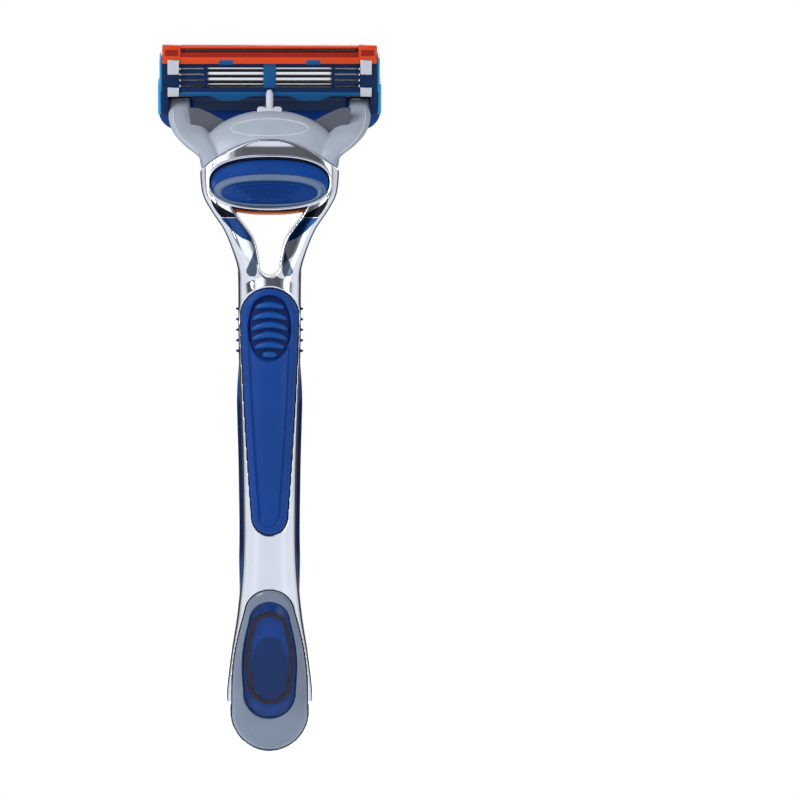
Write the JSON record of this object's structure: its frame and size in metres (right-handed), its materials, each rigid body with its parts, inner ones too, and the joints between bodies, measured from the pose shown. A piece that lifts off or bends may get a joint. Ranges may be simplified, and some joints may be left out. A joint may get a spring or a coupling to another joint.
{
  "type": "cartridge razor",
  "caption": "Upright safety razor: plated racket-shaped handle with blue grips, grey yoke and a pivoting multi-blade cartridge with a trimmer on its back.",
  "frame": {"origin": "at the top of the open neck window, where a hook or peg bears; the mid plane is X = 0", "axes": "+Z along the razor towards the head, +Y out of the blade side, -Y out of the thumb side, +X to the right seen from the thumb side"},
  "size_m": [0.0426, 0.026, 0.1363],
  "materials": {
    "chrome": "bright plated die casting",
    "weight_steel": "plain bar, hidden",
    "carrier_grey": "satin translucent plastic",
    "blue_elastomer": "satin soft-touch elastomer",
    "bezel_grey": "smooth moulded plastic",
    "backing_dark": "dark matt backing",
    "ring_brown": "dark amber moulded ring",
    "lens_blue": "clear tinted, polished",
    "blue_plastic": "moulded, fine satin",
    "orange_plastic": "satin moulded",
    "spring_steel": "drawn wire",
    "trim_grey": "satin moulded",
    "guide_grey": "satin moulded",
    "yoke_grey": "satin moulded",
    "skirt_blue": "satin elastomer",
    "guard_blue": "satin elastomer with fine fins",
    "clip_metal": "folded strip",
    "trimmer_orange": "translucent moulded",
    "blade_steel": "ground and coated edge",
    "strip_green": "waxy strip"
  },
  "bodies": {
    "handle": {"chrome_frame": "chrome", "core_weight": "weight_steel", "rear_carrier": "carrier_grey", "rear_grip": "blue_elastomer", "thumb_inlay": "blue_elastomer", "thumb_pad": "blue_elastomer", "side_nubs_right": "blue_elastomer", "side_nubs_left": "blue_elastomer", "badge_bezel": "bezel_grey", "badge_backing": "backing_dark", "badge_ring": "ring_brown", "badge_lens": "lens_blue", "docking_nose": "blue_plastic", "rear_plug": "orange_plastic", "ejector_spring": "spring_steel", "plunger_spring": "spring_steel"},
    "button": {"release_button": "blue_elastomer", "button_trim": "trim_grey", "ejector_slide": "orange_plastic"},
    "plunger": {"plunger": "guide_grey"},
    "yoke": {"yoke": "yoke_grey", "plunger_guide": "guide_grey"},
    "cartridge": {"cartridge_housing": "blue_plastic", "skirt": "skirt_blue", "guard_fins": "guard_blue", "clip_right": "clip_metal", "clip_left": "clip_metal", "trimmer_housing": "trimmer_orange", "trimmer_blade": "blade_steel", "lube_strip": "strip_green"},
    "blade_1": {"blade_1": "blade_steel", "blade_support_1": "blade_steel"},
    "blade_2": {"blade_2": "blade_steel", "blade_support_2": "blade_steel"},
    "blade_3": {"blade_3": "blade_steel", "blade_support_3": "blade_steel"},
    "blade_4": {"blade_4": "blade_steel", "blade_support_4": "blade_steel"},
    "blade_5": {"blade_5": "blade_steel", "blade_support_5": "blade_steel"}
  },
  "joints": [
    {"name": "cartridge_release", "type": "slide", "parent": "handle", "child": "yoke", "axis": [0, 0.309, 0.9511], "range_m": [0, 0.014]},
    {"name": "cartridge_pivot", "type": "hinge", "parent": "yoke", "child": "cartridge", "pos_m": [0, 0.0136, 0.0203], "axis": [1, 0, 0], "range_deg": [0, 40], "stiffness_Nm_per_rad": 0.01, "springref_deg": -28.65},
    {"name": "plunger_slide", "type": "slide", "parent": "handle", "child": "plunger", "axis": [0, 0.309, 0.9511], "range_m": [-0.0036, 0], "deforming": ["plunger_spring"]},
    {"name": "button_slide", "type": "slide", "parent": "handle", "child": "button", "axis": [0, 0.309, 0.9511], "range_m": [0, 0.002], "stiffness_N_per_m": 300, "springref_m": -0.001, "deforming": ["ejector_spring"]},
    {"name": "blade_1_float", "type": "slide", "parent": "cartridge", "child": "blade_1", "axis": [0, -0.9781, -0.2079], "range_m": [0, 0.0003], "stiffness_N_per_m": 300, "springref_m": -0.0002},
    {"name": "blade_2_float", "type": "slide", "parent": "cartridge", "child": "blade_2", "axis": [0, -0.9781, -0.2079], "range_m": [0, 0.0003], "stiffness_N_per_m": 300, "springref_m": -0.0002},
    {"name": "blade_3_float", "type": "slide", "parent": "cartridge", "child": "blade_3", "axis": [0, -0.9781, -0.2079], "range_m": [0, 0.0003], "stiffness_N_per_m": 300, "springref_m": -0.0002},
    {"name": "blade_4_float", "type": "slide", "parent": "cartridge", "child": "blade_4", "axis": [0, -0.9781, -0.2079], "range_m": [0, 0.0003], "stiffness_N_per_m": 300, "springref_m": -0.0002},
    {"name": "blade_5_float", "type": "slide", "parent": "cartridge", "child": "blade_5", "axis": [0, -0.9781, -0.2079], "range_m": [0, 0.0003], "stiffness_N_per_m": 300, "springref_m": -0.0002}
  ],
  "couplings": [
    {"joint": "plunger_slide", "follows": "cartridge_pivot", "m_per_rad": -0.0048}
  ]
}
